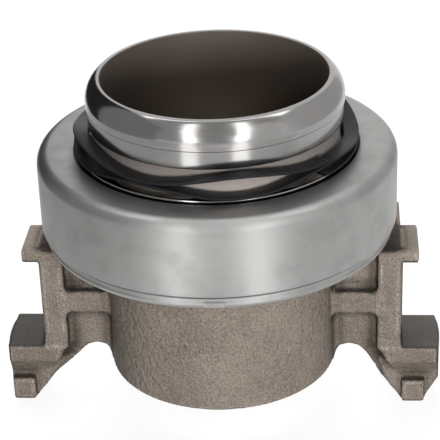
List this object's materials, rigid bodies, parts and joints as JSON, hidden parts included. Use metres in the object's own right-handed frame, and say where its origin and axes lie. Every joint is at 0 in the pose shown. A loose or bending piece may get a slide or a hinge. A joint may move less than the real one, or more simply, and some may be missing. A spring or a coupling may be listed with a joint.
{
  "type": "clutch release bearing",
  "caption": "Pull-type clutch release bearing with a cast two-winged guide sleeve, a drawn steel cover, a turned nose ring and a wave spring.",
  "frame": {"origin": "on the bearing axis, in the plane of the two toes that the part stands on", "axes": "+Z along the bearing axis towards the nose, X through the two wings, front at -Y"},
  "size_m": [0.151, 0.12, 0.1209],
  "materials": {
    "cast_sleeve": "sand-cast skin, brown-grey, with turned and milled pads",
    "bush_bronze": "bored bronze",
    "cover_steel": "bright drawn sheet with a satin sheen",
    "ring_steel": "ground bearing steel",
    "seal_rubber": "black moulded rubber",
    "nose_steel": "turned and polished",
    "cage_plastic": "moulded cage, brown",
    "spring_steel": "blued flat wire",
    "ball_steel": "polished balls"
  },
  "bodies": {
    "carrier": {"release_sleeve": "cast_sleeve", "guide_bush_lower": "bush_bronze", "guide_bush_upper": "bush_bronze", "bearing_cover": "cover_steel", "outer_ring": "ring_steel", "front_seal": "seal_rubber", "rear_seal": "seal_rubber"},
    "race": {"inner_ring": "nose_steel", "wave_spring": "spring_steel"},
    "ball_set": {"ball_cage": "cage_plastic", "ball_01": "ball_steel", "ball_02": "ball_steel", "ball_03": "ball_steel", "ball_04": "ball_steel", "ball_05": "ball_steel", "ball_06": "ball_steel", "ball_07": "ball_steel", "ball_08": "ball_steel", "ball_09": "ball_steel", "ball_10": "ball_steel", "ball_11": "ball_steel", "ball_12": "ball_steel", "ball_13": "ball_steel", "ball_14": "ball_steel", "ball_15": "ball_steel", "ball_16": "ball_steel", "ball_17": "ball_steel", "ball_18": "ball_steel", "ball_19": "ball_steel", "ball_20": "ball_steel", "ball_21": "ball_steel", "ball_22": "ball_steel"}
  },
  "joints": [
    {"name": "race_spin", "type": "hinge", "parent": "carrier", "child": "race", "pos_m": [0, 0, 0.084], "axis": [0, 0, 1], "continuous": true},
    {"name": "cage_orbit", "type": "hinge", "parent": "carrier", "child": "ball_set", "pos_m": [0, 0, 0.084], "axis": [0, 0, 1], "continuous": true}
  ],
  "couplings": [
    {"joint": "cage_orbit", "follows": "race_spin", "ratio": 0.4566}
  ]
}
